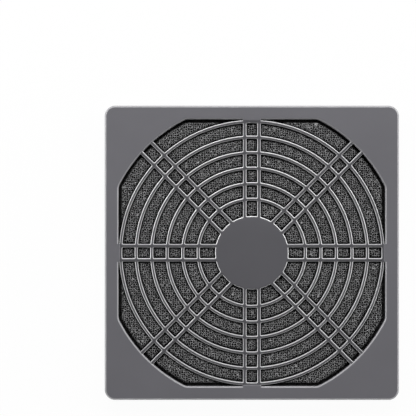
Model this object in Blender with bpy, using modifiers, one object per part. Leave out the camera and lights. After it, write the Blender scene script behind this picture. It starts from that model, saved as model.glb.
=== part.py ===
"""Dust filter for a square fan: clip-on cover with a ringed grille, foam pad and screwed back guard.

The fan side of the guard lies on Z = 0 and the cover's front faces +Z. All sizes are in metres.
"""
import math

import bmesh
import bpy
from mathutils import Matrix

# Fan that the filter fits
FAN_SIDE = 0.120            # square frame of the fan
HOLE_INSET = 0.0075         # fan's edge to the middle of a screw hole
SCREW_HOLE = 0.0044         # diameter
SCREW_HEAD = 0.0084         # diameter of the countersink at its mouth

# Whole filter
OVERHANG = 0.002            # how far the cover stands out past the fan on each side
CORNER_RADIUS = 0.0044      # cover's outer corners
FIT_GAP = 0.0003            # clearance where one piece fits against another
CUT_MARGIN = 0.002          # how far a cutter runs past what it cuts

# Opening: a square whose corners are cut by a circle
BORDER = 0.0058             # flat border of the cover beside the opening
OPENING_BULGE = 0.0063      # how far the circle stands out past the straight sides
OPENING_FILLET = 0.004      # where side and circle meet

# Cover
FACE_THICKNESS = 0.0022
SKIRT_WALL = 0.0015
SKIRT_LIFT = 0.0004         # skirt's lower edge above the fan's face
FRONT_EDGE = 0.0008         # rounding of the face's outer edge and of the opening's lip

# Grille, the same pattern in the cover and in the guard
HUB_DIAMETER = 0.031
RING_PITCH = 0.00654
BAR_WIDTH = 0.0015          # rings and spokes
SPOKE_COUNT = 8             # double spokes
SPOKE_SPACING = 0.006       # between the middles of a double spoke's two bars
OUTER_SLOT = 0.00025        # last ring to the opening's straight sides
BAR_EDGE = 0.00035          # bevel along the front edges of the cover's bars
SPOKE_ROOT = 0.0015         # how far the spokes run into the frame
FRONT_RECESS = 0.00025      # cover's grille below its face
BACK_RECESS = 0.0002        # grille's other faces below the plate that they lie in

# Foam pad
FOAM_THICKNESS = 0.0052
FOAM_PLAY = 0.0004          # between the pad's edge and the guard

# Guard
GUARD_THICKNESS = 0.002
RIM_WALL = 0.0012
BOSS_DIAMETER = 0.0096
BOSS_HEIGHT = 0.0016        # above the guard's plate

# Snap wedges on the guard's rim, and the windows that they catch in
SNAP_INSET = 0.032          # cover's corner to the middle of a wedge, along the side
SNAP_WIDTH = 0.0074
SNAP_HEIGHT = 0.0022
SNAP_REACH = 0.0013         # out from the rim
SNAP_LAND = 0.0006          # upright part of the wedge's tip

# Facets
CHORD_ERROR = 0.00015       # how far a facet may fall inside the circle that it stands for
CORNER_STEPS = 6
ARC_STEPS = 5               # opening's arc across a corner
FILLET_STEPS = 2
HOLE_STEPS = 24             # a full turn of a hole or a boss
EDGE_STEPS = 2              # rounding of front edges
MERGE_DISTANCE = 0.000005
SMOOTH_ANGLE = math.radians(32)

# Worked out from the above
COVER_HALF = FAN_SIDE / 2 + OVERHANG
GUARD_HALF = COVER_HALF - SKIRT_WALL - FIT_GAP
POCKET_HALF = GUARD_HALF - RIM_WALL
OPENING_HALF = COVER_HALF - BORDER
OPENING_RADIUS = OPENING_HALF + OPENING_BULGE
HOLE_PLACE = FAN_SIDE / 2 - HOLE_INSET

FOAM_LOW = GUARD_THICKNESS + FIT_GAP
FOAM_HIGH = FOAM_LOW + FOAM_THICKNESS
FACE_BACK = FOAM_HIGH + FIT_GAP
FACE_FRONT = FACE_BACK + FACE_THICKNESS
SNAP_LOW = (SKIRT_LIFT + FACE_BACK - SNAP_HEIGHT) / 2

LAST_RING = OPENING_HALF - OUTER_SLOT - BAR_WIDTH / 2
RING_COUNT = int((LAST_RING - HUB_DIAMETER / 2) / RING_PITCH)
QUARTER_TURN = math.pi / 2

PARTS = "fan_dust_filter"
CUTTERS = "fan_dust_filter_cutters"
joins = []


# Scene

def empty_scene():
    """Remove every object and make the two collections."""
    for thing in list(bpy.data.objects):
        bpy.data.objects.remove(thing, do_unlink=True)
    for name in (PARTS, CUTTERS):
        bpy.context.scene.collection.children.link(bpy.data.collections.new(name))


def plastic(name, colour, roughness):
    """Principled material with one colour and roughness."""
    material = bpy.data.materials.new(name)
    material.use_nodes = True
    shader = material.node_tree.nodes["Principled BSDF"]
    shader.inputs["Base Color"].default_value = (*colour, 1.0)
    shader.inputs["Roughness"].default_value = roughness
    shader.inputs["Metallic"].default_value = 0.0
    return material


def make_part(solid, material):
    """Put a finished solid in the parts collection, with its material."""
    bpy.data.collections[CUTTERS].objects.unlink(solid)
    bpy.data.collections[PARTS].objects.link(solid)
    solid.hide_render = False
    solid.display_type = "TEXTURED"
    solid.data.materials.append(material)
    return solid


def new_object(name, data):
    """Object in the cutters collection, where every solid starts as a tool for another."""
    thing = bpy.data.objects.new(name, data)
    bpy.data.collections[CUTTERS].objects.link(thing)
    thing.hide_render = True
    thing.display_type = "WIRE"
    return thing


def combine(target, name, tools, operation):
    """Note a Boolean of a solid with one or more tools, which get a collection of their own."""
    group = bpy.data.collections.new(name)
    bpy.data.collections[CUTTERS].children.link(group)
    for tool in tools:
        bpy.data.collections[CUTTERS].objects.unlink(tool)
        group.objects.link(tool)
    joins.append((target, group, operation))


def add_booleans():
    """Add the Booleans once every solid is there, so that none is worked out more than once."""
    for target, group, operation in joins:
        modifier = target.modifiers.new(group.name, "BOOLEAN")
        modifier.operation = operation
        modifier.solver = "EXACT"
        modifier.operand_type = "COLLECTION"
        modifier.collection = group


# Solids

def flat_solid(name, outlines, low, high, edge=0.0):
    """Plate between two heights: the first outline is its rim and the others are its holes.

    A flat curve is extruded, with its edges bevelled by the given radius, and made a mesh.
    """
    curve = bpy.data.curves.new(name, "CURVE")
    curve.dimensions = "2D"
    curve.fill_mode = "BOTH"
    curve.extrude = (high - low) / 2 - edge
    curve.bevel_depth = edge
    curve.bevel_resolution = EDGE_STEPS - 1
    curve.offset = -edge
    for outline in outlines:
        spline = curve.splines.new("POLY")
        spline.points.add(len(outline) - 1)
        for point, (x, y) in zip(spline.points, outline):
            point.co = (x, y, 0.0, 1.0)
        spline.use_cyclic_u = True
    holder = new_object(name + "_curve", curve)
    holder.location.z = (low + high) / 2
    depsgraph = bpy.context.evaluated_depsgraph_get()
    mesh = bpy.data.meshes.new_from_object(holder.evaluated_get(depsgraph))
    shape = bmesh.new()
    shape.from_mesh(mesh)
    bmesh.ops.remove_doubles(shape, verts=shape.verts, dist=MERGE_DISTANCE)
    bmesh.ops.recalc_face_normals(shape, faces=shape.faces)
    shape.to_mesh(mesh)
    shape.free()
    mesh.name = name
    mesh.shade_smooth()
    mesh.set_sharp_from_angle(angle=SMOOTH_ANGLE)
    solid = new_object(name, mesh)
    solid.matrix_world = holder.matrix_world
    bpy.data.objects.remove(holder)
    bpy.data.curves.remove(curve)
    return solid


def turned_solid(name, profile, closed, steps):
    """Solid turned about the vertical axis from a profile on +X, which runs down its outer side."""
    count = len(profile)
    edges = [(point, point + 1) for point in range(count - 1)]
    if closed:
        edges.append((count - 1, 0))
    mesh = bpy.data.meshes.new(name + "_profile")
    mesh.from_pydata([(x, 0.0, z) for x, z in profile], edges, [])
    solid = new_object(name, mesh)
    screw = solid.modifiers.new("turn", "SCREW")
    screw.steps = steps
    screw.render_steps = steps
    screw.use_merge_vertices = True
    screw.merge_threshold = MERGE_DISTANCE
    return solid


def turn_steps(radius):
    """Facets of a full turn that keep to the chord error, in whole quarters."""
    return 4 * math.ceil(math.pi / math.acos(1 - CHORD_ERROR / radius) / 4)


def box(name, size):
    """Box about the origin."""
    mesh = bpy.data.meshes.new(name)
    shape = bmesh.new()
    bmesh.ops.create_cube(shape, size=1.0, matrix=Matrix.Diagonal((*size, 1.0)))
    shape.to_mesh(mesh)
    shape.free()
    return new_object(name, mesh)


def at_places(solid, places):
    """The solid at the first place, and a copy that shares its mesh at each of the others."""
    copies = [solid]
    for _ in places[1:]:
        copy = solid.copy()
        bpy.data.collections[CUTTERS].objects.link(copy)
        copies.append(copy)
    for copy, place in zip(copies, places):
        copy.matrix_world = place
    return copies


def trim_below(target, height, depth):
    """Cut away all of a solid that lies below a height, with a slab of the given depth."""
    name = f"{target.name}_back_trim"
    side = 2 * (COVER_HALF + CUT_MARGIN)
    slab = box(name, (side, side, depth))
    slab.location.z = height - depth / 2
    combine(target, name, [slab], "DIFFERENCE")


# Outlines

def arc(centre, radius, start, end, steps):
    """Points along an arc, with both its ends."""
    angles = [start + (end - start) * step / steps for step in range(steps + 1)]
    return [(centre[0] + radius * math.cos(a), centre[1] + radius * math.sin(a)) for a in angles]


def turned(points, angle):
    """Points turned about the middle of the filter."""
    cosine = math.cos(angle)
    sine = math.sin(angle)
    return [(x * cosine - y * sine, x * sine + y * cosine) for x, y in points]


def rounded_square(half, radius):
    """Square outline with round corners."""
    middle = half - radius
    corner = arc((middle, middle), radius, 0.0, QUARTER_TURN, CORNER_STEPS)
    return [point for quarter in range(4) for point in turned(corner, quarter * QUARTER_TURN)]


def inner_radius(radius, wall):
    """Corner radius inside a wall, kept just above nothing where the wall is the thicker."""
    return max(radius - wall, FIT_GAP)


def opening_outline():
    """Straight sides and an arc across each corner, with a fillet where they meet."""
    across = OPENING_HALF - OPENING_FILLET
    along = math.sqrt((OPENING_RADIUS - OPENING_FILLET) ** 2 - across ** 2)
    turn = math.atan2(along, across)
    first = arc((across, along), OPENING_FILLET, 0.0, turn, FILLET_STEPS)
    middle = arc((0.0, 0.0), OPENING_RADIUS, turn, QUARTER_TURN - turn, ARC_STEPS)[1:-1]
    last = arc((along, across), OPENING_FILLET, QUARTER_TURN - turn, QUARTER_TURN, FILLET_STEPS)
    corner = first + middle + last
    return [point for quarter in range(4) for point in turned(corner, quarter * QUARTER_TURN)]


def opening_reach(angle, offset):
    """Distance along a spoke, on a line offset to its side, to the edge of the opening.

    That is to its circle or to the nearest straight side, whichever comes first.
    """
    slant = angle - round(angle / QUARTER_TURN) * QUARTER_TURN
    to_circle = math.sqrt(OPENING_RADIUS ** 2 - offset ** 2)
    to_side = (OPENING_HALF + offset * math.sin(slant)) / math.cos(slant)
    return min(to_circle, to_side)


# Grille

def bar_section(low, high, edge):
    """Section of a bar, from its inner side over the front: square at the back, rounded in front."""
    side = BAR_WIDTH / 2
    if edge == 0.0:
        return [(-side, low), (-side, high), (side, high), (side, low)]
    first = arc((edge - side, high - edge), edge, 2 * QUARTER_TURN, QUARTER_TURN, EDGE_STEPS)
    last = arc((side - edge, high - edge), edge, QUARTER_TURN, 0.0, EDGE_STEPS)
    return [(-side, low)] + first + last + [(side, low)]


def ring(name, radius, section):
    """Ring with the bars' section, turned about the middle of the filter."""
    profile = [(radius + across, height) for across, height in section]
    return turned_solid(name, profile, True, turn_steps(radius))


def hub(name, low, high, edge):
    """Flat disc in the middle, with its front edge rounded as the bars' are."""
    radius = HUB_DIAMETER / 2
    shoulder = [(radius, high)]
    if edge > 0.0:
        shoulder = arc((radius - edge, high - edge), edge, QUARTER_TURN, 0.0, EDGE_STEPS)
    profile = [(0.0, high)] + shoulder + [(radius, low), (0.0, low)]
    return turned_solid(name, profile, False, turn_steps(radius))


def spoke_bar(name, section, start, end, across, axis):
    """Straight bar with the given section, along a spoke's axis and offset to its side."""
    bar = flat_solid(name, [section], -(end - start) / 2, (end - start) / 2)
    lengthways = Matrix(((0.0, 0.0, 1.0), (1.0, 0.0, 0.0), (0.0, 1.0, 0.0))).to_4x4()
    place = Matrix.Translation(((start + end) / 2, across, 0.0))
    bar.matrix_world = Matrix.Rotation(axis, 4, "Z") @ place @ lengthways
    return bar


def spokes(name, low, high, edge):
    """All the double spokes, from inside the hub to inside the frame.

    Where the last ring all but meets the opening's straight side, the space between the bars is
    filled from the ring to the frame.
    """
    section = bar_section(low, high, edge)
    start = HUB_DIAMETER / 2 - SPOKE_ROOT - BAR_WIDTH
    middle = SPOKE_SPACING / 2
    outside = middle + BAR_WIDTH / 2
    bars = []
    for count in range(SPOKE_COUNT):
        axis = 2 * math.pi * count / SPOKE_COUNT
        for across in (-middle, middle):
            end = max(opening_reach(axis, across + side * BAR_WIDTH / 2) for side in (-1, 1))
            bars.append(spoke_bar(f"{name}_spoke", section, start, end + SPOKE_ROOT, across, axis))
        end = opening_reach(axis, 0.0)
        if end - LAST_RING < BAR_WIDTH:
            block = [(-middle, low), (-middle, high), (middle, high), (middle, low)]
            bars.append(spoke_bar(f"{name}_root", block, LAST_RING, end + SPOKE_ROOT / 2, 0.0, axis))
    return bars


def grille(name, low, high, edge):
    """Hub, rings and double spokes between two heights, united in one solid."""
    section = bar_section(low, high, edge)
    body = hub(name, low, high, edge)
    bars = [ring(f"{name}_ring", LAST_RING - RING_PITCH * count, section) for count in range(RING_COUNT)]
    bars += spokes(name, low, high, edge)
    combine(body, f"{name}_bars", bars, "UNION")
    return body


# Places

def side_places(out, up):
    """Places on all four sides of the filter, two a side, at the given distances out and up."""
    along = COVER_HALF - SNAP_INSET
    turns = [Matrix.Rotation(quarter * QUARTER_TURN, 4, "Z") for quarter in range(4)]
    return [turn @ Matrix.Translation((out, side * along, up)) for turn in turns for side in (-1, 1)]


def hole_places():
    """Middles of the four screw holes."""
    return [Matrix.Translation((x * HOLE_PLACE, y * HOLE_PLACE, 0.0)) for x in (-1, 1) for y in (-1, 1)]


# Pieces

def front_cover(material):
    """Square face with the grille in its opening, and a skirt with windows for the snap wedges."""
    blank_depth = FRONT_EDGE + CUT_MARGIN
    outlines = [rounded_square(COVER_HALF, CORNER_RADIUS), opening_outline()]
    cover = flat_solid("front_cover", outlines, SKIRT_LIFT - blank_depth, FACE_FRONT, FRONT_EDGE)
    trim_below(cover, SKIRT_LIFT, blank_depth + CUT_MARGIN)

    hollow_half = COVER_HALF - SKIRT_WALL
    hollow_outline = rounded_square(hollow_half, inner_radius(CORNER_RADIUS, SKIRT_WALL))
    hollow = flat_solid("cover_hollow", [hollow_outline], SKIRT_LIFT - CUT_MARGIN, FACE_BACK)
    combine(cover, "cover_inside", [hollow], "DIFFERENCE")

    through = SKIRT_WALL + 2 * CUT_MARGIN
    window = box("snap_window", (through, SNAP_WIDTH + 2 * FIT_GAP, SNAP_HEIGHT + 2 * FIT_GAP))
    places = side_places(COVER_HALF - SKIRT_WALL / 2, SNAP_LOW + SNAP_HEIGHT / 2)
    combine(cover, "snap_windows", at_places(window, places), "DIFFERENCE")

    front = FACE_FRONT - FRONT_RECESS
    bars = grille("cover_grille", FACE_BACK + BACK_RECESS, front, BAR_EDGE)
    combine(cover, "cover_front", [bars], "UNION")
    return make_part(cover, material)


def filter_foam(material):
    """Square pad with its corners cut off to clear the screw bosses."""
    half = POCKET_HALF - FOAM_PLAY
    corner_reach = math.sqrt(2) * HOLE_PLACE - BOSS_DIAMETER / 2 - FOAM_PLAY
    cut = math.sqrt(2) * corner_reach - half
    corner = [(half, cut), (cut, half)]
    outline = [point for quarter in range(4) for point in turned(corner, quarter * QUARTER_TURN)]
    return make_part(flat_solid("filter_foam", [outline], FOAM_LOW, FOAM_HIGH), material)


def snap_wedges():
    """Wedges that slope towards the front, so that the skirt rides over them and catches."""
    root = RIM_WALL / 2
    root_high = SNAP_HEIGHT + (SNAP_HEIGHT - SNAP_LAND) * root / SNAP_REACH
    profile = [(-root, 0.0), (SNAP_REACH, 0.0), (SNAP_REACH, SNAP_LAND), (-root, root_high)]
    wedge = flat_solid("snap_wedge", [profile], -SNAP_WIDTH / 2, SNAP_WIDTH / 2)
    upright = Matrix.Rotation(QUARTER_TURN, 4, "X")
    return at_places(wedge, [place @ upright for place in side_places(GUARD_HALF, SNAP_LOW)])


def screw_boss(top):
    """Round boss, with its root inside the guard's plate."""
    radius = BOSS_DIAMETER / 2
    profile = [(0.0, top), (radius, top), (radius, GUARD_THICKNESS / 2), (0.0, GUARD_THICKNESS / 2)]
    return turned_solid("screw_boss", profile, False, HOLE_STEPS)


def screw_hole(top):
    """Cutter for a through hole with a right-angled countersink at the top of its boss."""
    hole = SCREW_HOLE / 2
    head = SCREW_HEAD / 2
    profile = [
        (0.0, top + CUT_MARGIN),
        (head + CUT_MARGIN, top + CUT_MARGIN),
        (hole, top - head + hole),
        (hole, -CUT_MARGIN),
        (0.0, -CUT_MARGIN),
    ]
    return turned_solid("screw_hole", profile, False, HOLE_STEPS)


def back_guard(material):
    """Plate with the grille in its opening, a rim round the foam, screw bosses and snap wedges."""
    corner = inner_radius(CORNER_RADIUS, SKIRT_WALL + FIT_GAP)
    outlines = [rounded_square(GUARD_HALF, corner), opening_outline()]
    guard = flat_solid("back_guard", outlines, 0.0, FOAM_HIGH)

    pocket_outline = rounded_square(POCKET_HALF, inner_radius(corner, RIM_WALL))
    pocket = flat_solid("guard_pocket", [pocket_outline], GUARD_THICKNESS, FOAM_HIGH + CUT_MARGIN)
    combine(guard, "guard_inside", [pocket], "DIFFERENCE")

    boss_top = GUARD_THICKNESS + BOSS_HEIGHT
    combine(guard, "screw_bosses", at_places(screw_boss(boss_top), hole_places()), "UNION")
    combine(guard, "screw_holes", at_places(screw_hole(boss_top), hole_places()), "DIFFERENCE")
    combine(guard, "snap_wedges", snap_wedges(), "UNION")

    bars = grille("guard_grille", BACK_RECESS, GUARD_THICKNESS - BACK_RECESS, 0.0)
    combine(guard, "guard_front", [bars], "UNION")
    return make_part(guard, material)


def main():
    empty_scene()
    front_cover(plastic("cover_plastic", (0.147, 0.147, 0.159), 0.5))
    filter_foam(plastic("foam", (0.075, 0.075, 0.078), 0.95))
    back_guard(plastic("guard_plastic", (0.140, 0.140, 0.152), 0.55))
    add_booleans()


main()
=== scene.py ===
import math

import bpy
import numpy as np
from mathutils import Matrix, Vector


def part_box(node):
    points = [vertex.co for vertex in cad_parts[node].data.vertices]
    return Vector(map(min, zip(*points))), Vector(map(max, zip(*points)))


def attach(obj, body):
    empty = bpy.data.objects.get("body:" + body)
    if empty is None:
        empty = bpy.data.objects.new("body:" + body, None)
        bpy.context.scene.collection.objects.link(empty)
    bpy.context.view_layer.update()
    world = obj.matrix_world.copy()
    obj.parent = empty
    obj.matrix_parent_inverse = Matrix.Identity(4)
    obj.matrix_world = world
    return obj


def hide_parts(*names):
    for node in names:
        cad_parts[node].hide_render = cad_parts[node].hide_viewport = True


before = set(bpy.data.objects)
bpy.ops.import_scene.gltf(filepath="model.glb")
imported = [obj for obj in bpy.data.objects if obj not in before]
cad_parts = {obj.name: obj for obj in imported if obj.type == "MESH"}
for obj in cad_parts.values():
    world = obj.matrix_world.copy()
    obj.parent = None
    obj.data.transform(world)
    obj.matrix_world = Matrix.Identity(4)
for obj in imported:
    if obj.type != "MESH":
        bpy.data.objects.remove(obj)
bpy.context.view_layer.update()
coverLow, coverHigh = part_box("front_cover")
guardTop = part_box("back_guard")[1].z
foamLow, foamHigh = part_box("filter_foam")
print("frame loaded")

# sizes in metres that more than one piece shares
fitShape = {
    "border": 0.0058,          # flat border of the cover beside the opening
    "openingBulge": 0.0065,    # how far the opening's circle stands out past its straight sides
    "openingFillet": 0.004,
    "cornerRadius": 0.0044,
    "skirtWall": 0.0015,
    "fitGap": 0.0003,
    "leastCorner": 0.0002,     # radius that a shell's inner corners keep
    "plateThickness": 0.002,   # of the guard
    "snapInset": 0.032,        # cover's corner to the middle of a wedge, along the side
    "snapWidth": 0.0074,
    "snapHeight": 0.0022,
    "snapReach": 0.0013,
    "snapLand": 0.0006,
}
coverHalf = coverHigh.x
guardHalf = coverHalf - fitShape["skirtWall"] - fitShape["fitGap"]
openingHalf = coverHalf - fitShape["border"]
openingRadius = openingHalf + fitShape["openingBulge"]
faceBack = foamHigh.z + fitShape["fitGap"]
snapLow = (coverLow.z + faceBack - fitShape["snapHeight"]) / 2
halfTurn = math.pi
quarterTurn = halfTurn / 2
sharpTurn = 40.0               # degrees; an edge that turns by more stays sharp


# meshes

def makePiece(name, points, faces, smoothAngle=sharpTurn):
    # puts points and faces into a new mesh, smooth apart from edges that turn by more than the angle
    mesh = bpy.data.meshes.new(name)
    mesh.from_pydata(np.asarray(points).tolist(), [], faces)
    mesh.update()
    mesh.shade_smooth()
    mesh.set_sharp_from_angle(angle=math.radians(smoothAngle))
    piece = bpy.data.objects.new(name, mesh)
    bpy.context.scene.collection.objects.link(piece)
    return piece


def addShare(piece, name, values):
    # a share from 0 to 1 for each point, as an attribute that the materials read; later points stay at 0
    filled = np.zeros(len(piece.data.vertices), dtype=np.float32)
    filled[:len(values)] = values
    piece.data.attributes.new(name, "FLOAT", "POINT").data.foreach_set("value", filled)


def gridFaces(index, closeRows=False, closeColumns=False):
    # four-sided faces of a grid of point numbers, which may close on itself either way
    if closeRows:
        index = np.concatenate([index, index[:1]], axis=0)
    if closeColumns:
        index = np.concatenate([index, index[:, :1]], axis=1)
    corners = [index[:-1, :-1], index[1:, :-1], index[1:, 1:], index[:-1, 1:]]
    return np.stack(corners, axis=-1).reshape(-1, 4).tolist()


def rayTo(angle):
    # unit vector at an angle, for whole arrays
    return np.stack([np.cos(angle), np.sin(angle)], axis=-1)


def fromSide(angle):
    # how far an angle lies from the middle of the filter's nearest side
    return np.abs((angle + quarterTurn / 2) % quarterTurn - quarterTurn / 2)


def sidePrism(name, outline, width, quarter, along):
    # closed outline of (out, up) points, carried along one of the filter's four sides by the given width
    out = np.array(outline)
    side = rayTo(np.array(quarter * quarterTurn))
    across = rayTo(np.array((quarter + 1) * quarterTurn))
    ends = []
    for shift in (along - width / 2, along + width / 2):
        flat = out[:, :1] * side + shift * across
        ends.append(np.column_stack([flat, out[:, 1]]))
    count = len(out)
    index = np.arange(2 * count).reshape(2, count)
    faces = gridFaces(index, closeColumns=True) + [index[0].tolist(), index[1].tolist()[::-1]]
    return makePiece(name, np.concatenate(ends), faces)


def turnedPiece(name, profile, steps, centre):
    # profile of (radius, height) points turned about an upright axis; its two ends lie on the axis
    radius, height = np.array(profile[1:-1]).T
    angle = np.arange(steps) * 2 * halfTurn / steps
    ringPoints = rayTo(angle)[:, None, :] * radius[None, :, None] + np.array(centre)
    heights = np.broadcast_to(height[None, :, None], (steps, len(radius), 1))
    points = np.concatenate([ringPoints, heights], axis=-1).reshape(-1, 3)
    poles = [(*centre, profile[0][1]), (*centre, profile[-1][1])]
    index = np.arange(steps * len(radius)).reshape(steps, len(radius))
    faces = [face[::-1] for face in gridFaces(index, closeRows=True)]
    start = index[:, 0]
    end = index[:, -1]
    pole = np.full(steps, len(points))
    faces += np.column_stack([pole, start, np.roll(start, -1)]).tolist()
    faces += np.column_stack([pole + 1, np.roll(end, -1), end]).tolist()
    return makePiece(name, np.concatenate([points, poles]), faces)


def cutPiece(piece, tools, operation):
    # joins tools to a piece or cuts them from it, and keeps the result as the piece's own mesh
    group = bpy.data.collections.new(piece.name + operation)
    for tool in tools:
        bpy.context.scene.collection.objects.unlink(tool)
        group.objects.link(tool)
    bpy.context.scene.collection.children.link(group)
    modifier = piece.modifiers.new(operation, "BOOLEAN")
    modifier.operand_type = "COLLECTION"
    modifier.collection = group
    modifier.operation = operation
    modifier.solver = "EXACT"
    depsgraph = bpy.context.evaluated_depsgraph_get()
    mesh = bpy.data.meshes.new_from_object(piece.evaluated_get(depsgraph))
    piece.modifiers.clear()
    piece.data = mesh
    for tool in tools:
        bpy.data.objects.remove(tool)
    bpy.data.collections.remove(group)
    mesh.shade_smooth()
    mesh.set_sharp_from_angle(angle=math.radians(sharpTurn))


# grille

grilleShape = {
    "hubRadius": 0.0155,
    "ringPitch": 0.00654,
    "ringCount": 6,
    "ringWidth": 0.0013,
    "barWidth": 0.0015,        # of the spokes' bars
    "spokeCount": 8,           # double spokes
    "spokeSpacing": 0.006,     # between the middles of a double spoke's two bars
    "outerSlot": 0.00025,      # last ring to the opening's straight sides
    "cellFillet": 0.0003,      # corners of the cells
    "spokeRoot": 0.0015,       # how far the bars run into the frame
    "flatMargin": 0.00003,     # narrow level band beside each rounded edge
    "arcSteps": 16,
    "filletSteps": 4,
    "sharpTurn": 60.0,
    "hubLoops": [0.94, 0.86, 0.76, 0.6, 0.4, 0.2],   # shares of the hub's radius
    "polishTurn": [0.3, 0.45, 0.9, 1.0],             # how far an edge has turned from level to upright
    "polishShare": [0.0, 1.0, 1.0, 0.0],             # and how much highlight is painted there
    "ringPolish": (1.0, 0.6),                        # painted highlight on a ring's outer and inner side
    "spokePolish": (0.7, 0.45),                      # and on a double spoke's inner and outer sides
}


def ringRadii():
    # middle of each ring, counted in from the last one, which stands just inside the straight sides
    last = openingHalf - grilleShape["outerSlot"] - grilleShape["ringWidth"] / 2
    return last - grilleShape["ringPitch"] * np.arange(grilleShape["ringCount"] - 1, -1, -1)


def barSide(low, high, frontEdge, backEdge, frontSteps, backSteps):
    # side of a bar as (depth inside the bar, height, share of painted highlight): a level band, a quarter
    # round, the upright wall, a quarter round and a level band
    front = np.linspace(0, quarterTurn, frontSteps + 1)
    back = np.linspace(quarterTurn, 0, backSteps + 1)
    margin = grilleShape["flatMargin"]
    depth = [
        [frontEdge + margin],
        frontEdge * (1 - np.sin(front)),
        backEdge * (1 - np.sin(back)),
        [backEdge + margin],
    ]
    height = [
        [high],
        high - frontEdge * (1 - np.cos(front)),
        low + backEdge * (1 - np.cos(back)),
        [low],
    ]
    turned = np.concatenate([[0.0], front, back, [0.0]]) / quarterTurn
    polish = np.interp(turned, grilleShape["polishTurn"], grilleShape["polishShare"])
    return np.concatenate(depth), np.concatenate(height), polish


def cornerArc(axis, offset, reach, start, end, grow):
    # corner of a cell: an arc of radius fillet + grow whose centre lies at a distance from the middle
    # and at an offset to the side of a spoke's axis, between two directions
    centre = reach[:, None] * rayTo(axis + np.arcsin(offset / reach))
    share = np.linspace(0, 1, grilleShape["filletSteps"] + 1)
    angle = start[:, None] + (end - start)[:, None] * share
    radius = grilleShape["cellFillet"] + grow
    return centre[:, None, None, :] + rayTo(angle)[:, :, None, :] * radius[None, None, :, None]


def ringArc(start, end, radius):
    # arc about the middle between two angles, without its ends
    share = np.linspace(0, 1, grilleShape["arcSteps"] + 1)[1:-1]
    angle = start[:, None] + (end - start)[:, None] * share
    return rayTo(angle)[:, :, None, :] * radius[:, None, :, None]


def sideEnd(axis, offset, reach):
    # point on a line beside a spoke's axis, at a distance along it
    along = rayTo(axis)[:, None, :] * reach[:, None, None]
    return (along + rayTo(axis + quarterTurn)[:, None, :] * offset[..., None])[:, None]


def cellPaths(cells, grow, ended):
    # outlines of cells, each grown by every value of grow, anticlockwise: two sides parallel to the
    # spokes' axes, arcs about the middle, and filleted corners; an ended one is open towards the frame
    fillet = grilleShape["cellFillet"]
    axisLow, axisHigh, offsetLow, offsetHigh, inner, outer = cells[:6]
    low = offsetLow + fillet
    high = offsetHigh - fillet
    innerReach = inner + fillet
    outerReach = outer - fillet
    innerLow = axisLow + np.arcsin(low / innerReach)
    innerHigh = axisHigh + np.arcsin(high / innerReach)
    inside = [
        cornerArc(axisHigh, high, innerReach, axisHigh + quarterTurn, innerHigh + halfTurn, grow),
        ringArc(innerHigh, innerLow, inner[:, None] - grow),
        cornerArc(axisLow, low, innerReach, innerLow + halfTurn, axisLow + 3 * quarterTurn, grow),
    ]
    if ended:
        endLow, endHigh = cells[6:]
        first = sideEnd(axisHigh, offsetHigh[:, None] + grow, endHigh)
        last = sideEnd(axisLow, offsetLow[:, None] - grow, endLow)
        return np.concatenate([first, *inside, last], axis=1)
    outerLow = axisLow + np.arcsin(low / outerReach)
    outerHigh = axisHigh + np.arcsin(high / outerReach)
    outside = [
        cornerArc(axisLow, low, outerReach, axisLow - quarterTurn, outerLow, grow),
        ringArc(outerLow, outerHigh, outer[:, None] + grow),
        cornerArc(axisHigh, high, outerReach, outerHigh, axisHigh + quarterTurn, grow),
    ]
    return np.concatenate([*outside, *inside], axis=1)


def spokeEnds(spokes):
    # where the bars of each spoke end, inside the frame: past its straight side or past its circle
    reach = np.minimum(openingHalf / np.cos(fromSide(spokes)), openingRadius)
    return reach + grilleShape["spokeRoot"]


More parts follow.
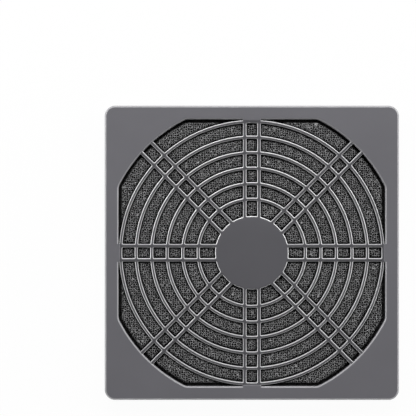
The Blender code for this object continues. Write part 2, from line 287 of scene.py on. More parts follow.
def grillePiece(name, low, high, frontEdge, backEdge, crown, edgeSteps):
    # hub, rings and double spokes as one closed surface: round every cell, each point of the bars' side
    # is the cell's outline grown by its depth, at its height, and level faces fill what lies between
    shape = grilleShape
    steps = shape["filletSteps"]
    arcs = shape["arcSteps"]
    halfBar = shape["barWidth"] / 2
    halfRing = shape["ringWidth"] / 2
    rings = ringRadii()
    lastRing = rings[-1]
    inner = np.concatenate([[shape["hubRadius"]], rings[:-1] + halfRing])
    outer = rings - halfRing
    columns = 2 * shape["spokeCount"]
    spoke = np.arange(columns) // 2
    between = np.arange(columns) % 2          # 0 in a double spoke, 1 between two of them
    turn = 2 * halfTurn / shape["spokeCount"]
    narrow = shape["spokeSpacing"] / 2 - halfBar
    wide = shape["spokeSpacing"] / 2 + halfBar
    axisLow = spoke * turn
    axisHigh = (spoke + between) * turn
    offsetLow = np.where(between, wide, -narrow)
    offsetHigh = np.where(between, -wide, narrow)
    depth, height, polish = barSide(low, high, frontEdge, backEdge, *edgeSteps)

    rowCount = len(rings)
    sides = [np.repeat(value, rowCount) for value in (axisLow, axisHigh, offsetLow, offsetHigh)]
    cells = [*sides, np.tile(inner, columns), np.tile(outer, columns)]
    closed = cellPaths(cells, depth, False)
    # where a double spoke meets the frame soon after the last ring, its bars have no open cell between them
    rooted = spokeEnds(axisLow) - lastRing < shape["spokeRoot"] + 2 * shape["barWidth"]
    openColumns = [column for column in range(columns) if between[column] or not rooted[column]]
    last = np.full(len(openColumns), lastRing + halfRing)
    sides = [value[openColumns] for value in (axisLow, axisHigh, offsetLow, offsetHigh)]
    cells = [*sides, last, last, spokeEnds(sides[0]), spokeEnds(sides[1])]
    ended = cellPaths(cells, depth, True)

    def raised(paths):
        heights = np.broadcast_to(height[None, None, :, None], (*paths.shape[:3], 1))
        return np.concatenate([paths, heights], axis=-1).reshape(-1, 3)

    cellIndex = np.arange(closed.shape[0] * closed.shape[1] * closed.shape[2])
    cellIndex = cellIndex.reshape(columns, rowCount, closed.shape[1], closed.shape[2])
    endIndex = cellIndex.size + np.arange(ended.shape[0] * ended.shape[1] * ended.shape[2])
    endIndex = dict(zip(openColumns, endIndex.reshape(ended.shape[:3])))
    points = [raised(closed), raised(ended)]
    faces = []
    for cell in cellIndex.reshape(-1, *cellIndex.shape[2:]):
        faces += gridFaces(cell, closeRows=True)
    for cell in endIndex.values():
        faces += gridFaces(cell)

    def levelFaces(level):
        # faces between the cells at one end of the bars' side
        found = []

        def part(column, row, corner):
            # points of one corner or arc of a cell, in the order of its outline
            column = column % columns
            shift = 0 if row < rowCount else 2 * steps + arcs
            loop = cellIndex[column, row] if row < rowCount else endIndex[column]
            first = {
                "outerLow": 0,
                "outerArc": steps,
                "outerHigh": steps + arcs,
                "innerHigh": 2 * steps + arcs + 1,
                "innerArc": 3 * steps + arcs + 1,
                "innerLow": 3 * steps + 2 * arcs + 1,
            }[corner] - shift
            count = arcs + 1 if corner.endswith("Arc") else steps + 1
            return loop[first:first + count, level].tolist()

        for column in range(columns):
            follow = (column + 1) % columns
            for row in range(rowCount):
                innerBar = [part(column, row, "innerHigh")[0], part(column, row, "outerHigh")[-1]]
                outerBar = [part(follow, row, "outerLow")[0], part(follow, row, "innerLow")[-1]]
                found.append(innerBar + outerBar)
                if row + 1 == rowCount and column not in endIndex:
                    continue
                below = np.array(part(column, row, "outerArc"))
                above = np.array(part(column, row + 1, "innerArc")[::-1])
                found += gridFaces(np.stack([below, above]))
                if row + 1 == rowCount and follow not in endIndex:
                    continue
                found.append(
                    part(column, row, "outerHigh")[::-1]
                    + part(column, row + 1, "innerHigh")[::-1]
                    + part(follow, row + 1, "innerLow")[::-1]
                    + part(follow, row, "outerLow")[::-1]
                )
            if column in endIndex and follow in endIndex:
                bar = [part(column, rowCount, "innerHigh")[0], int(endIndex[column][0, level])]
                bar += [int(endIndex[follow][-1, level]), part(follow, rowCount, "innerLow")[-1]]
                found.append(bar)
        for column in range(columns):
            if column in endIndex:
                continue
            before = (column - 1) % columns
            follow = (column + 1) % columns
            top = rowCount - 1
            found.append(
                part(before, top, "outerHigh")[::-1]
                + part(before, rowCount, "innerHigh")[::-1]
                + [int(endIndex[before][0, level]), int(endIndex[follow][-1, level])]
                + part(follow, rowCount, "innerLow")[::-1]
                + part(follow, top, "outerLow")[::-1]
                + part(column, top, "outerHigh")[::-1]
                + part(column, top, "outerArc")[-2:0:-1]
                + part(column, top, "outerLow")[::-1]
            )
        return found

    def hubFaces(level, rise):
        # hub's disc: loops that run from the cells' inner ends to the middle, each raised by
        # rise * (1 - share ** 4), where share is its own radius over the hub's
        inside = slice(2 * steps + arcs + 1, None)
        rim = cellIndex[:, 0, inside, level][:, ::-1].reshape(-1)
        edge = points[0][rim]
        angle = np.arctan2(edge[:, 1], edge[:, 0])
        share = np.array(shape["hubLoops"])
        radius = shape["hubRadius"] * share
        loops = rayTo(angle)[None] * radius[:, None, None]
        lift = np.broadcast_to((edge[0, 2] + rise * (1 - share ** 4))[:, None], loops.shape[:2])
        loops = np.concatenate([loops, lift[..., None]], axis=-1).reshape(-1, 3)
        start = sum(len(group) for group in points)
        points.append(loops)
        points.append(np.array([[0.0, 0.0, edge[0, 2] + rise]]))
        index = start + np.arange(len(loops)).reshape(len(share), -1)
        index = np.concatenate([rim[None], index])
        found = gridFaces(index, closeColumns=True)
        last = index[-1]
        middle = np.full(len(last), start + len(loops))
        found += np.column_stack([last, middle, np.roll(last, -1)]).tolist()
        return [face[::-1] for face in found]

    faces += levelFaces(0)
    faces += [face[::-1] for face in levelFaces(-1)]
    faces += hubFaces(0, crown)
    faces += [face[::-1] for face in hubFaces(-1, 0.0)]
    for column in range(columns):
        follow = (column + 1) % columns
        if column in endIndex:
            other = follow if follow in endIndex else (column + 2) % columns
            faces.append(endIndex[column][0].tolist() + endIndex[other][-1].tolist()[::-1])
    piece = makePiece(name, np.concatenate(points), faces, shape["sharpTurn"])
    kinds = []                                # painted highlight round a closed and an open cell, of each kind of column
    for side in shape["spokePolish"]:
        halves = []
        for arc in shape["ringPolish"]:
            corner = np.linspace(side, arc, steps + 1)
            halves.append(np.concatenate([corner, np.full(arcs - 1, arc), corner[::-1]]))
        kinds.append((np.concatenate(halves[::-1]), np.concatenate([[side], halves[0], [side]])))
    weights = [np.tile(kinds[kind][0], rowCount) for kind in between]
    weights += [kinds[kind][1] for kind in between[openColumns]]
    # share of painted highlight on each point of the bars' sides
    addShare(piece, "polish", (np.concatenate(weights)[:, None] * polish).reshape(-1))
    return piece


# square shells

stationShape = {
    "tabStep": 0.02,                       # half the degrees over which the side of a tab falls
    "stops": [25.0, 27.2, 42.6, 45.0],     # degrees from the middle of a side to the opening's fillet,
                                           # past it, to the shell's round corner and to its middle
    "counts": [2, 1, 9, 8, 16, 12],        # steps up to each stop, the tab's two first
}
tabHalf = (grilleShape["spokeSpacing"] + grilleShape["barWidth"]) / 2
tabTurn = math.degrees(math.atan2(tabHalf, openingHalf))


def octantStations():
    # angles from the middle of a side to a corner, close together at the side of a tab, at the
    # opening's fillet and at the shell's round corner
    tabStep = stationShape["tabStep"]
    stops = [0.0, tabTurn - tabStep, tabTurn + tabStep, *stationShape["stops"]]
    spans = zip(stops, stops[1:], stationShape["counts"])
    parts = [np.linspace(start, end, count, endpoint=False) for start, end, count in spans]
    return np.radians(np.concatenate(parts))


def shellStations():
    # the octant's angles, mirrored and turned through the four quarters
    octant = octantStations()
    quarter = np.concatenate([octant, [quarterTurn / 2], quarterTurn - octant[:0:-1]])
    return np.concatenate([quarter + turn * quarterTurn for turn in range(4)])


def circleReach(turn, centreX, centreY, radius):
    # distance along a ray from the middle to the far side of a circle
    middle = centreX * np.cos(turn) + centreY * np.sin(turn)
    rest = centreX ** 2 + centreY ** 2 - radius ** 2
    return middle + np.sqrt(np.maximum(middle ** 2 - rest, 0.0))


def squareReach(angle, half, radius, shrink):
    # distance along a ray to a square with round corners, made smaller by shrink on every side
    turn = fromSide(angle)
    straight = (half - shrink) / np.cos(turn)
    middle = half - radius
    onSide = straight * np.sin(turn) <= middle
    return np.where(onSide, straight, circleReach(turn, middle, middle, radius - shrink))


def openingReach(angle, grow):
    # distance along a ray to the opening, made larger by grow: its straight side, its fillet or its circle
    fillet = fitShape["openingFillet"]
    across = openingHalf - fillet
    along = math.sqrt((openingRadius - fillet) ** 2 - across ** 2)
    turn = fromSide(angle)
    straight = (openingHalf + grow) / np.cos(turn)
    onSide = straight * np.sin(turn) <= along
    onCircle = turn >= math.atan2(along, across)
    filleted = circleReach(turn, across, along, fillet + grow)
    return np.where(onSide, straight, np.where(onCircle, openingRadius + grow, filleted))


def quarterRound(turnFrom, turnTo, centre, radius, steps):
    # points of an arc in a shell's section, as (inset, height)
    turn = np.linspace(turnFrom, turnTo, steps + 1)
    return [(centre[0] + radius * math.cos(at), centre[1] + radius * math.sin(at)) for at in turn]


def shellPiece(name, half, radius, section, tab=None, polish=None):
    # a section carried round the square: each of its points is (share, inset, height), where share 0 is
    # on the outer square made smaller by inset, share 1 on the opening made larger by inset, and a
    # share between them lies between those two; tab moves the opening's points near a side's middle,
    # where no highlight is painted, and polish says how much highlight is painted on each point of the
    # section
    angle = shellStations()
    onTab = fromSide(angle) < math.radians(tabTurn)
    rows = []
    for share, inset, height in section:
        outside = squareReach(angle, half, radius, min(inset, radius - fitShape["leastCorner"]))
        inside = openingReach(angle, inset)
        heights = np.full(len(angle), height)
        if tab and share == 1.0:
            tabInset, tabHeight = tab(inset, height)
            inside = np.where(onTab, openingReach(angle, tabInset), inside)
            heights = np.where(onTab, tabHeight, heights)
        reach = outside * (1 - share) + inside * share
        rows.append(np.column_stack([rayTo(angle) * reach[:, None], heights]))
    points = np.stack(rows, axis=1)
    index = np.arange(points.shape[0] * points.shape[1]).reshape(points.shape[:2])
    faces = gridFaces(index, closeRows=True, closeColumns=True)
    piece = makePiece(name, points.reshape(-1, 3), faces)
    if polish is not None:
        onLip = np.array([share == 1.0 for share, inset, height in section])
        addShare(piece, "polish", (~(onTab[:, None] & onLip) * polish).reshape(-1))
    return piece


def sidePlaces():
    # quarter and distance along the side of each snap wedge
    along = coverHalf - fitShape["snapInset"]
    return [(quarter, side * along) for quarter in range(4) for side in (-1, 1)]


coverShape = {
    "outerEdge": 0.0008,       # rounding of the face's outer edge
    "lipEdge": 0.0008,         # rounding of the opening's lip
    "backEdge": 0.0002,        # of the skirt's foot and the opening's back
    "grilleFront": 0.00025,    # grille below the face
    "grilleBack": 0.0002,      # grille above the face's back
    "barEdge": 0.0006,
    "barBackEdge": 0.00015,
    "barSteps": (6, 2),        # in the front and back roundings of a bar
    "hubCrown": 0.00006,       # how far the hub's middle stands up
    "edgeSteps": 7,            # in the face's two roundings
    "backSteps": 3,            # in those of radius backEdge
    "faceShares": (0.25, 0.5, 0.75),       # rows between the outer edge and the opening, in front
    "backShares": (0.75, 0.5, 0.25, 0.0),  # and at the face's back
    "tabReach": 0.0006,        # flush tab that meets a double spoke, in from the opening's straight side
    "tabEdge": 0.0003,
    "outerPolish": [0.0, 0.15, 0.45, 0.6],           # turns of the outer rounding where highlight is painted, as for the bars
    "outerShare": [0.0, 1.0, 1.0, 0.0],
    "lipPolish": [0.1, 0.35, 0.65, 0.95],            # and of the lip's
    "lipShare": [0.0, 0.8, 0.8, 0.0],
    "windowPlay": 0.0003,      # round a snap wedge in its window
}


def coverFrame():
    # square face with its opening, and the skirt round its edge
    shape = coverShape
    top = coverHigh.z
    bottom = coverLow.z
    edge = shape["outerEdge"]
    lip = shape["lipEdge"]
    back = shape["backEdge"]
    wall = fitShape["skirtWall"]
    margin = grilleShape["flatMargin"]
    steps = shape["edgeSteps"]
    fewSteps = shape["backSteps"]
    turned = np.linspace(0, 1, steps + 1)
    # painted highlight along the face's outer edge and the opening's lip
    outerHighlight = np.interp(turned, shape["outerPolish"], shape["outerShare"])
    lipHighlight = np.interp(turned, shape["lipPolish"], shape["lipShare"])
    skirt = quarterRound(3 * quarterTurn, halfTurn, (back, bottom + back), back, fewSteps)
    rounding = quarterRound(halfTurn, quarterTurn, (edge, top - edge), edge, steps)
    section = [(0.0, inset, height) for inset, height in skirt + rounding]
    polish = np.concatenate([np.zeros(len(skirt)), outerHighlight[::-1]])
    section += [(0.0, edge + margin, top)]
    section += [(share, lip, top) for share in shape["faceShares"]]
    section += [(1.0, lip + margin, top)]
    polish = np.concatenate([polish, np.zeros(len(section) - len(polish)), lipHighlight])
    rounding = quarterRound(quarterTurn, halfTurn, (lip, top - lip), lip, steps)
    section += [(1.0, inset, height) for inset, height in rounding]
    rounding = quarterRound(halfTurn, 3 * quarterTurn, (back, faceBack + back), back, fewSteps)
    section += [(1.0, inset, height) for inset, height in rounding]
    section += [(share, wall, faceBack) for share in shape["backShares"]]
    rounding = quarterRound(0.0, -quarterTurn, (wall - back, bottom + back), back, fewSteps)
    section += [(0.0, inset, height) for inset, height in rounding]
    polish = np.concatenate([polish, np.zeros(len(section) - len(polish))])

    def tab(inset, height):
        # the lip's section where it meets a double spoke: moved in, with a smaller rounding
        if height < top - lip:
            return inset - shape["tabReach"], height
        if inset > lip:
            return inset, height
        scale = shape["tabEdge"] / lip
        return inset * scale - shape["tabReach"], top - (top - height) * scale

    piece = shellPiece("coverFrame", coverHalf, fitShape["cornerRadius"], section, tab, polish)

    play = shape["windowPlay"]
    low = snapLow - play
    high = snapLow + fitShape["snapHeight"] + play
    near = coverHalf - 2 * wall
    far = coverHalf + wall
    outline = [(near, low), (far, low), (far, high), (near, high)]
    width = fitShape["snapWidth"] + 2 * play
    windows = [sidePrism("snapWindow", outline, width, *place) for place in sidePlaces()]
    cutPiece(piece, windows, "DIFFERENCE")
    return piece


guardShape = {
    "rimWall": 0.0012,
    "edge": 0.0003,
    "edgeSteps": 3,
    "rimShares": (0.0, 0.5),   # rows of the plate's front, from the rim to the opening
    "backShares": (0.66, 0.33),            # and of its back, from the opening to the outer edge
    "grilleInset": 0.0002,     # grille below the plate's two faces
    "barFrontEdge": 0.00015,
    "barBackEdge": 0.00035,
    "barSteps": (2, 4),        # in the front and back roundings of a bar
    "holePlace": 0.0525,       # screw hole to the middle, both ways
    "holeRadius": 0.0022,
    "headRadius": 0.0042,
    "bossRadius": 0.0048,
    "bossHeight": 0.0016,
    "holeSteps": 48,
    "cutMargin": 0.002,
}


def guardFrame():
    # plate with its opening, the rim round the foam, screw bosses with countersunk holes, and the wedges
    shape = guardShape
    plate = fitShape["plateThickness"]
    rim = shape["rimWall"]
    edge = shape["edge"]
    rounds = shape["edgeSteps"]
    corner = fitShape["cornerRadius"] - coverHalf + guardHalf
    parts = [
        quarterRound(3 * quarterTurn, halfTurn, (edge, edge), edge, rounds),
        quarterRound(halfTurn, quarterTurn, (edge, guardTop - edge), edge, rounds),
        quarterRound(quarterTurn, 0.0, (rim - edge, guardTop - edge), edge, rounds),
    ]
    section = [(0.0, inset, height) for part in parts for inset, height in part]
    section += [(share, rim, plate) for share in shape["rimShares"]]
    parts = [
        quarterRound(quarterTurn, halfTurn, (edge, plate - edge), edge, rounds),
        quarterRound(halfTurn, 3 * quarterTurn, (edge, edge), edge, rounds),
    ]
    section += [(1.0, inset, height) for part in parts for inset, height in part]
    section += [(share, edge, 0.0) for share in shape["backShares"]]
    piece = shellPiece("guardFrame", guardHalf, corner, section)

    place = shape["holePlace"]
    places = [(x * place, y * place) for x in (-1, 1) for y in (-1, 1)]
    bossTop = plate + shape["bossHeight"]
    boss = shape["bossRadius"]
    bossProfile = [(0.0, bossTop), (boss - edge, bossTop), (boss, bossTop - edge)]
    bossProfile += [(boss, plate / 2), (0.0, plate / 2)]
    margin = shape["cutMargin"]
    head = shape["headRadius"]
    hole = shape["holeRadius"]
    holeProfile = [(0.0, bossTop + margin), (head + margin, bossTop + margin), (hole, bossTop - head + hole)]
    holeProfile += [(hole, -margin), (0.0, -margin)]
    steps = shape["holeSteps"]
    reach = fitShape["snapReach"]
    land = fitShape["snapLand"]
    root = rim / 2
    rootHigh = fitShape["snapHeight"] + (fitShape["snapHeight"] - land) * root / reach
    outline = [(-root, 0.0), (reach, 0.0), (reach, land), (-root, rootHigh)]
    outline = [(guardHalf + out, snapLow + up) for out, up in outline]
    wedges = [sidePrism("snapWedge", outline, fitShape["snapWidth"], *place) for place in sidePlaces()]
    bosses = [turnedPiece("screwBoss", bossProfile, steps, centre) for centre in places]
    holes = [turnedPiece("screwHole", holeProfile, steps, centre) for centre in places]
    cutPiece(piece, bosses + wedges, "UNION")
    cutPiece(piece, holes, "DIFFERENCE")
    return piece


# foam

foamShape = {
    "steps": 272,              # grid cells along each side in front, and half as many at the back
    "lump": 0.0003,            # height of the surface's grain
    "lumpShare": 0.9,          # how much of that height the front and back use
    "ownShare": 0.8,           # of a point's own height in the grain
    "softShare": 0.6,          # and of the mean with its neighbours
    "softEdge": 0.0006,
    "cornerCut": 0.03905,      # a cut corner starts this far from the middle of a side
    "rows": 4,                 # of points down a side
    "seed": 7,
    "sharpTurn": 180.0,        # nothing is sharp
    "barGap": 0.00025,         # foam that swells into a cell keeps this far from its bars
    "lipGap": 0.0008,          # and this much more from the opening's lip
    "frontSwell": 0.0014,
    "frontShoulder": 0.0007,
    "backSwell": 0.0007,
    "backShoulder": 0.0016,
}


def foamOutline(x, y, half):
    # a square grid pulled in towards the middle until its corners meet the pad's cut corners: each
    # point moves along its ray by the ratio of the cut outline's reach to the square's, and the 1e-9
    # only keeps the middle from a division by nothing
    size = np.maximum(np.abs(x), np.abs(y))
    total = np.abs(x) + np.abs(y)
    limit = half + foamShape["cornerCut"]
    ratio = np.where(total * half > limit * size, limit * size / np.maximum(total * half, 1e-9), 1.0)
    return x * ratio, y * ratio


def cellDepth(x, y):
    # how far a point lies inside a cell of the grille: the least of its distances to the hub, to the
    # rings, to the spokes' bars and to the opening's lip
    halfBar = grilleShape["barWidth"] / 2
    reach = np.hypot(x, y)
    toRings = np.abs(reach[..., None] - ringRadii()).min(axis=-1) - grilleShape["ringWidth"] / 2
    axes = np.arange(grilleShape["spokeCount"] // 2) * 2 * halfTurn / grilleShape["spokeCount"]
    across = np.abs(x[..., None] * np.sin(axes) - y[..., None] * np.cos(axes))
    toSpokes = np.abs(across - grilleShape["spokeSpacing"] / 2).min(axis=-1) - halfBar
    toHub = reach - grilleShape["hubRadius"]
    toSide = openingHalf - np.maximum(np.abs(x), np.abs(y))
    toLip = np.minimum(toSide, openingRadius - reach) - foamShape["lipGap"]
    return np.minimum.reduce([toRings, toSpokes, toHub, toLip])


def grain(shape, seed):
    # random heights from -1 to 1, softened with the mean of the nine round each point
    values = np.random.default_rng(seed).uniform(-1, 1, shape)
    near = (-1, 0, 1)
    soft = sum(np.roll(values, (down, right), (0, 1)) for down in near for right in near) / len(near) ** 2
    return foamShape["ownShare"] * values + foamShape["softShare"] * soft


def foamSheet(steps, level, outward, swell, shoulder, seed):
    # one face of the pad as a grid: level, softened at its border by a quarter round, swollen into the
    # grille's cells with a quarter round beside each bar, and grained; also the painted shade of each point
    # beside the bars, (1 - share) ** 2, where share grows from 0 beside a bar to 1 past the round
    shape = foamShape
    half = foamHigh.x
    line = np.linspace(-half, half, steps + 1)
    gridX, gridY = np.meshgrid(line, line, indexing="ij")
    x, y = foamOutline(gridX, gridY, half - shape["lump"])
    toEdge = np.minimum(half - np.abs(gridX), half - np.abs(gridY)) / shape["softEdge"]
    inside = np.clip(toEdge, 0.0, 1.0)
    edgeDrop = shape["softEdge"] * (1 - np.sqrt(1 - (1 - inside) ** 2))
    share = np.clip((cellDepth(x, y) - shape["barGap"]) / shoulder, 0.0, 1.0)
    rise = swell * np.sqrt(1 - (1 - share) ** 2)
    rough = shape["lump"] * shape["lumpShare"] * grain(x.shape, seed) * inside
    height = level + outward * (rise - edgeDrop - shape["lump"] + rough)
    return np.stack([x, y, height], axis=-1).reshape(-1, 3), ((1 - share) ** 2).reshape(-1)


def sheetBorder(index):
    # point numbers round a grid's border
    return np.concatenate([index[:-1, 0], index[-1, :-1], index[:0:-1, -1], index[0, :0:-1]])


def foamPad():
    # closed pad: a fine grid in front, a coarser one at the back, and rows of points down the sides,
    # where every second point meets a point of the back
    shape = foamShape
    steps = shape["steps"]
    coarse = steps // 2
    half = foamHigh.x
    seed = shape["seed"]
    front, frontShade = foamSheet(steps, foamHigh.z, 1, shape["frontSwell"], shape["frontShoulder"], seed)
    back, backShade = foamSheet(coarse, foamLow.z, -1, shape["backSwell"], shape["backShoulder"], seed + 1)
    frontIndex = np.arange((steps + 1) ** 2).reshape(steps + 1, -1)
    backIndex = frontIndex.size + np.arange((coarse + 1) ** 2).reshape(coarse + 1, -1)
    frontRim = sheetBorder(frontIndex)
    backRim = sheetBorder(backIndex)
    rimPoints = front[frontRim]
    lowPoints = rimPoints.copy()
    lowPoints[:, 2] = foamLow.z + foamHigh.z - rimPoints[:, 2]
    share = np.linspace(0, 1, shape["rows"] + 2)[1:-1, None, None]
    wall = rimPoints + (lowPoints - rimPoints) * share
    wall[..., :2] *= 1 + shape["lump"] / half * grain(wall.shape[:2], seed + 2)[..., None]
    wallIndex = frontIndex.size + backIndex.size + np.arange(wall.shape[0] * wall.shape[1])
    wallIndex = wallIndex.reshape(wall.shape[:2])
    last = wallIndex[-1]
    seam = [backRim, np.roll(backRim, -1), np.roll(last[::2], -1), last[1::2], last[::2]]
    faces = gridFaces(frontIndex) + [face[::-1] for face in gridFaces(backIndex)]
    faces += gridFaces(np.concatenate([frontRim[None], wallIndex]), closeColumns=True)
    faces += np.stack(seam, axis=-1).tolist()
    points = np.concatenate([front, back, wall.reshape(-1, 3)])
    piece = makePiece("filterFoam", points, faces, shape["sharpTurn"])
    addShare(piece, "pressed", np.concatenate([frontShade, backShade]))
    return piece


# materials

def addNode(tree, kind, inputs=None, result=0, **settings):
    # a new node with its settings and its inputs, which are values or outputs of other nodes; gives
    # back the output that is named or numbered
    node = tree.nodes.new("ShaderNode" + kind)
    for key, value in settings.items():
        setattr(node, key, value)
    for key, value in (inputs or {}).items():
        if isinstance(value, bpy.types.NodeSocket):
            tree.links.new(value, node.inputs[key])
        else:
            node.inputs[key].default_value = value
    return node.outputs[result]


def newMaterial(name, roughness):
    material = bpy.data.materials.new(name)
    material.use_nodes = True
    shader = material.node_tree.nodes["Principled BSDF"]
    shader.inputs["Roughness"].default_value = roughness
    return material, material.node_tree, shader


plasticLook = {
    "roughness": 0.38,
    "glossSpread": 0.06,       # of the roughness, either way
    "grainScale": 5200.0,      # moulded texture, per metre
    "grainDetail": 3.0,
    "grainHeight": 0.000012,
    "cloudScale": 55.0,        # slow change of tone
    "cloudDetail": 2.0,
    "cloudRange": (0.3, 0.7),  # part of the noise that the change of tone uses
    "cloudAmount": 0.06,
    "hubEdge": (0.94, 1.02),   # where the hub's tone ends, in shares of its radius
}

plasticColours = {             # of the body, tone of the hub, colour of the highlight painted along the edges
    "coverPlastic": ((0.147, 0.145, 0.159), 1.0, (0.38, 0.377, 0.39)),
    # the grille's body is darker than the cover's face though both are one moulding: painted shade on the
    # bars
    "grillePlastic": ((0.080, 0.079, 0.087), 1.27, (0.92, 0.92, 0.93)),
    "guardPlastic": ((0.138, 0.138, 0.150), 1.0, (0.21, 0.21, 0.225)),
}


def satinPlastic(name):
    # moulded plastic: fine grain in its height and gloss, slow clouds in its tone, a hub of its own
    # tone, and a painted highlight that lightens the edges
    look = plasticLook
    colour, hubTone, highlightColour = plasticColours[name]
    material, tree, shader = newMaterial(name, look["roughness"])
    place = addNode(tree, "TexCoord", result="Object")
    values = {"Vector": place, "Scale": look["grainScale"], "Detail": look["grainDetail"]}
    fine = addNode(tree, "TexNoise", values, "Fac")
    values = {"Vector": place, "Scale": look["cloudScale"], "Detail": look["cloudDetail"]}
    slow = addNode(tree, "TexNoise", values, "Fac")

    values = {"Height": fine, "Strength": 1.0, "Distance": look["grainHeight"]}
    bump = addNode(tree, "Bump", values, "Normal")
    tree.links.new(bump, shader.inputs["Normal"])

    spread = look["glossSpread"]
    values = {"Value": fine, "To Min": look["roughness"] - spread, "To Max": look["roughness"] + spread}
    gloss = addNode(tree, "MapRange", values, "Result")
    tree.links.new(gloss, shader.inputs["Roughness"])

    low, high = look["cloudRange"]
    values = {"Value": slow, "From Min": low, "From Max": high}
    values["To Min"] = 1 - look["cloudAmount"] / 2
    values["To Max"] = 1 + look["cloudAmount"] / 2
    cloud = addNode(tree, "MapRange", values, "Result")

    flat = addNode(tree, "VectorMath", {0: place, 1: (1.0, 1.0, 0.0)}, "Vector", operation="MULTIPLY")
    reach = addNode(tree, "VectorMath", {0: flat}, "Value", operation="LENGTH")
    low, high = look["hubEdge"]
    values = {"Value": reach, "From Min": low * grilleShape["hubRadius"]}
    values["From Max"] = high * grilleShape["hubRadius"]
    values["To Min"] = hubTone
    values["To Max"] = 1.0
    hub = addNode(tree, "MapRange", values, "Result", interpolation_type="SMOOTHSTEP")

    tone = addNode(tree, "Math", {0: cloud, 1: hub}, "Value", operation="MULTIPLY")
    # painted highlight: the base colour mixes towards the highlight colour along the edges
    polish = addNode(tree, "Attribute", None, "Fac", attribute_name="polish")
    values = {"Factor": polish, "A": colour, "B": highlightColour}
    body = addNode(tree, "Mix", values, "Result", data_type="VECTOR")
    paint = addNode(tree, "VectorMath", {0: body, "Scale": tone}, "Vector", operation="SCALE")
    tree.links.new(paint, shader.inputs["Base Color"])
    return material


foamLook = {
    "roughness": 0.9,
    "specular": 0.2,
    "cellScale": 1080.0,       # cells per metre
    "cellSpread": 0.7,         # how unevenly they lie
    "bendScale": 864.0,        # of the noise that bends them, per metre
    "bendReach": 0.0002,
    "strandEdge": 0.03,        # distances from a cell's edge, in cells: where the strand ends,
    "poreEdge": 0.15,          # where the pore starts
    "poreFloor": 0.3,          # and where it is deepest
    "speckScale": 2300.0,
    "strand": (0.345, 0.345, 0.35),
    # the pores' near black is painted shade inside the open cells
    "pore": (0.003, 0.003, 0.003),
    "speckSpread": 0.8,        # how far a speck's tone strays from the middle
    "pressedTone": 0.06,       # tone under the painted shade beside a bar
    "bumpHeight": 0.0003,
}


def openFoam(name):
    # open-cell foam: light strands along the edges of uneven cells, dark pores between them that paint the
    # shade inside the open cells, fine specks of unlike tone, and painted shade beside the bars
    look = foamLook
    material, tree, shader = newMaterial(name, look["roughness"])
    shader.inputs["Specular IOR Level"].default_value = look["specular"]
    place = addNode(tree, "TexCoord", result="Object")
    bend = addNode(tree, "TexNoise", {"Vector": place, "Scale": look["bendScale"], "Detail": 1.0}, "Color")
    shift = addNode(tree, "VectorMath", {0: bend, 1: (0.5, 0.5, 0.5)}, "Vector", operation="SUBTRACT")
    values = {0: shift, "Scale": look["bendReach"]}
    small = addNode(tree, "VectorMath", values, "Vector", operation="SCALE")
    moved = addNode(tree, "VectorMath", {0: place, 1: small}, "Vector", operation="ADD")
    values = {"Vector": moved, "Scale": look["cellScale"], "Randomness": look["cellSpread"]}
    cells = addNode(tree, "TexVoronoi", values, "Distance", feature="DISTANCE_TO_EDGE")
    strands = addNode(tree, "ValToRGB", {"Fac": cells}, "Color")
    stops = [(look["strandEdge"], look["strand"]), (look["poreEdge"], look["pore"])]
    for element, (position, colour) in zip(strands.node.color_ramp.elements, stops):
        element.position = position
        element.color = (*colour, 1.0)

    each = addNode(tree, "TexVoronoi", {"Vector": moved, "Scale": look["speckScale"]}, "Color")
    values = {"Value": each, "To Min": 1 - look["speckSpread"], "To Max": 1 + look["speckSpread"]}
    tone = addNode(tree, "MapRange", values, "Result")
    # painted shade on the foam beside the bars
    pressed = addNode(tree, "Attribute", None, "Fac", attribute_name="pressed")
    values = {"Value": pressed, "To Min": 1.0, "To Max": look["pressedTone"]}
    shaded = addNode(tree, "MapRange", values, "Result")
    both = addNode(tree, "Math", {0: tone, 1: shaded}, "Value", operation="MULTIPLY")
    paint = addNode(tree, "VectorMath", {0: strands, "Scale": both}, "Vector", operation="SCALE")
    tree.links.new(paint, shader.inputs["Base Color"])

    values = {"Value": cells, "From Max": look["poreFloor"], "To Min": 1.0, "To Max": 0.0}
    depth = addNode(tree, "MapRange", values, "Result")
    values = {"Height": depth, "Strength": 1.0, "Distance": look["bumpHeight"]}
    bump = addNode(tree, "Bump", values, "Normal")
    tree.links.new(bump, shader.inputs["Normal"])
    return material


# pieces

def finishPiece(piece, node, material):
    piece.data.materials.clear()
    piece.data.materials.append(material)
    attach(piece, "root")
    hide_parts(node)
    print("made", piece.name, "with", len(piece.data.polygons), "faces")


coverPlastic = satinPlastic("coverPlastic")
grillePlastic = satinPlastic("grillePlastic")
guardPlastic = satinPlastic("guardPlastic")
foamMaterial = openFoam("openFoam")
print("materials ready")

coverGrille = grillePiece(
    "coverGrille",
    low=faceBack + coverShape["grilleBack"],
    high=coverHigh.z - coverShape["grilleFront"],
    frontEdge=coverShape["barEdge"],
    backEdge=coverShape["barBackEdge"],
    crown=coverShape["hubCrown"],
    edgeSteps=coverShape["barSteps"],
)
finishPiece(coverGrille, "front_cover", grillePlastic)
finishPiece(coverFrame(), "front_cover", coverPlastic)

guardGrille = grillePiece(
    "guardGrille",
    low=guardShape["grilleInset"],
    high=fitShape["plateThickness"] - guardShape["grilleInset"],
    frontEdge=guardShape["barFrontEdge"],
    backEdge=guardShape["barBackEdge"],
    crown=0.0,
    edgeSteps=guardShape["barSteps"],
)
finishPiece(guardGrille, "back_guard", guardPlastic)
finishPiece(guardFrame(), "back_guard", guardPlastic)

foam = foamPad()
finishPiece(foam, "filter_foam", foamMaterial)


# studio

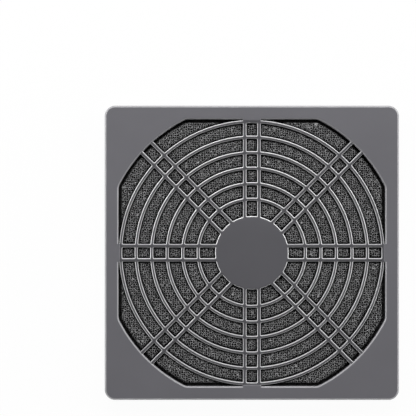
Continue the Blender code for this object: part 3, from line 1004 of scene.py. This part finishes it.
studio = {
    "fieldWidth": 0.17516,     # seen across the picture, at the height of the cover's face
    "cameraX": -0.01848,
    "cameraY": 0.0189,
    "lens": 120.0,
    "sensor": 36.0,
    "floorSize": 4.0,
    "floorGap": 0.0001,
    "floorTone": 0.9,
    "whiteShare": 0.96,        # how much of the floor's look is plain white
    "skyLevel": 0.03,
    "lamps": {                 # place, size and power of each; the strips stand low and light the edges
        "overheadLamp": ((0.0, 0.72, 0.78), (1.0, 0.5), 9.2),
        "topStrip": ((0.0, 0.34, 0.05), (0.6, 0.06), 0.25),
        "leftLamp": ((-0.65, 0.15, 0.45), (0.6, 0.3), 1.6),
        "rightLamp": ((0.65, 0.15, 0.45), (0.6, 0.3), 1.6),
        "leftStrip": ((-0.60, 0.15, 0.065), (0.7, 0.10), 2.6),
        "rightStrip": ((0.60, 0.15, 0.065), (0.7, 0.10), 2.7),
        "frontStrip": ((0.0, -0.5, 0.006), (0.8, 0.01), 1.6),    # under the face: front wall alone
        "underLamp": ((0.0, 0.0, -0.6), (0.9, 0.9), 4.0),
    },
}


def addCamera():
    data = bpy.data.cameras.new("camera")
    data.lens = studio["lens"]
    data.sensor_width = studio["sensor"]
    camera = bpy.data.objects.new("camera", data)
    away = studio["fieldWidth"] * studio["lens"] / studio["sensor"]
    camera.location = (studio["cameraX"], studio["cameraY"], coverHigh.z + away)
    bpy.context.scene.collection.objects.link(camera)
    bpy.context.scene.camera = camera


def addLamp(name, place, size, power):
    # area lamp that looks at the middle of the filter
    data = bpy.data.lights.new(name, "AREA")
    data.shape = "RECTANGLE"
    data.size, data.size_y = size
    data.energy = power
    lamp = bpy.data.objects.new(name, data)
    lamp.location = place
    towards = -lamp.location
    lamp.rotation_mode = "QUATERNION"
    lamp.rotation_quaternion = towards.to_track_quat("-Z", "Y")
    lamp.visible_camera = False
    bpy.context.scene.collection.objects.link(lamp)


def whiteMask(tree):
    # 1 for what the camera sees, straight or by reflection or through something clear
    path = addNode(tree, "LightPath").node.outputs
    mask = path["Is Camera Ray"]
    for other in ("Is Glossy Ray", "Is Transmission Ray"):
        mask = addNode(tree, "Math", {0: mask, 1: path[other]}, operation="MAXIMUM")
    return mask


def addFloor():
    # a pale square under the filter, white for the camera and clear from below
    half = studio["floorSize"] / 2
    corners = [(-half, -half), (half, -half), (half, half), (-half, half)]
    floor = makePiece("floor", [(x, y, -studio["floorGap"]) for x, y in corners], [[0, 1, 2, 3]])
    material = bpy.data.materials.new("floorWhite")
    material.use_nodes = True
    tree = material.node_tree
    tree.nodes.clear()
    tone = studio["floorTone"]
    plain = addNode(tree, "BsdfDiffuse", {"Color": (tone, tone, tone, 1.0)})
    white = addNode(tree, "Emission", {"Strength": 1.0})
    share = addNode(tree, "Math", {0: whiteMask(tree), 1: studio["whiteShare"]}, operation="MULTIPLY")
    mix = addNode(tree, "MixShader", {0: share, 1: plain, 2: white})
    clear = addNode(tree, "BsdfTransparent")
    below = addNode(tree, "NewGeometry", result="Backfacing")
    oneSided = addNode(tree, "MixShader", {0: below, 1: mix, 2: clear})
    output = tree.nodes.new("ShaderNodeOutputMaterial")
    tree.links.new(oneSided, output.inputs["Surface"])
    floor.data.materials.append(material)
    floor.visible_shadow = False              # the lamp below shines through it on the underside


def addSky():
    # white for the camera, a plain grey light for the object
    world = bpy.data.worlds.new("studioSky")
    world.use_nodes = True
    tree = world.node_tree
    tree.nodes.clear()
    white = (1.0, 1.0, 1.0, 1.0)
    soft = addNode(tree, "Background", {"Color": white, "Strength": studio["skyLevel"]})
    plain = addNode(tree, "Background", {"Color": white, "Strength": 1.0})
    seen = addNode(tree, "LightPath", result="Is Camera Ray")
    mix = addNode(tree, "MixShader", {0: seen, 1: soft, 2: plain})
    output = tree.nodes.new("ShaderNodeOutputWorld")
    tree.links.new(mix, output.inputs["Surface"])
    bpy.context.scene.world = world


addCamera()
addFloor()
addSky()
for name, values in studio["lamps"].items():
    addLamp(name, *values)
bpy.context.scene.view_settings.view_transform = "Standard"
print("studio ready")
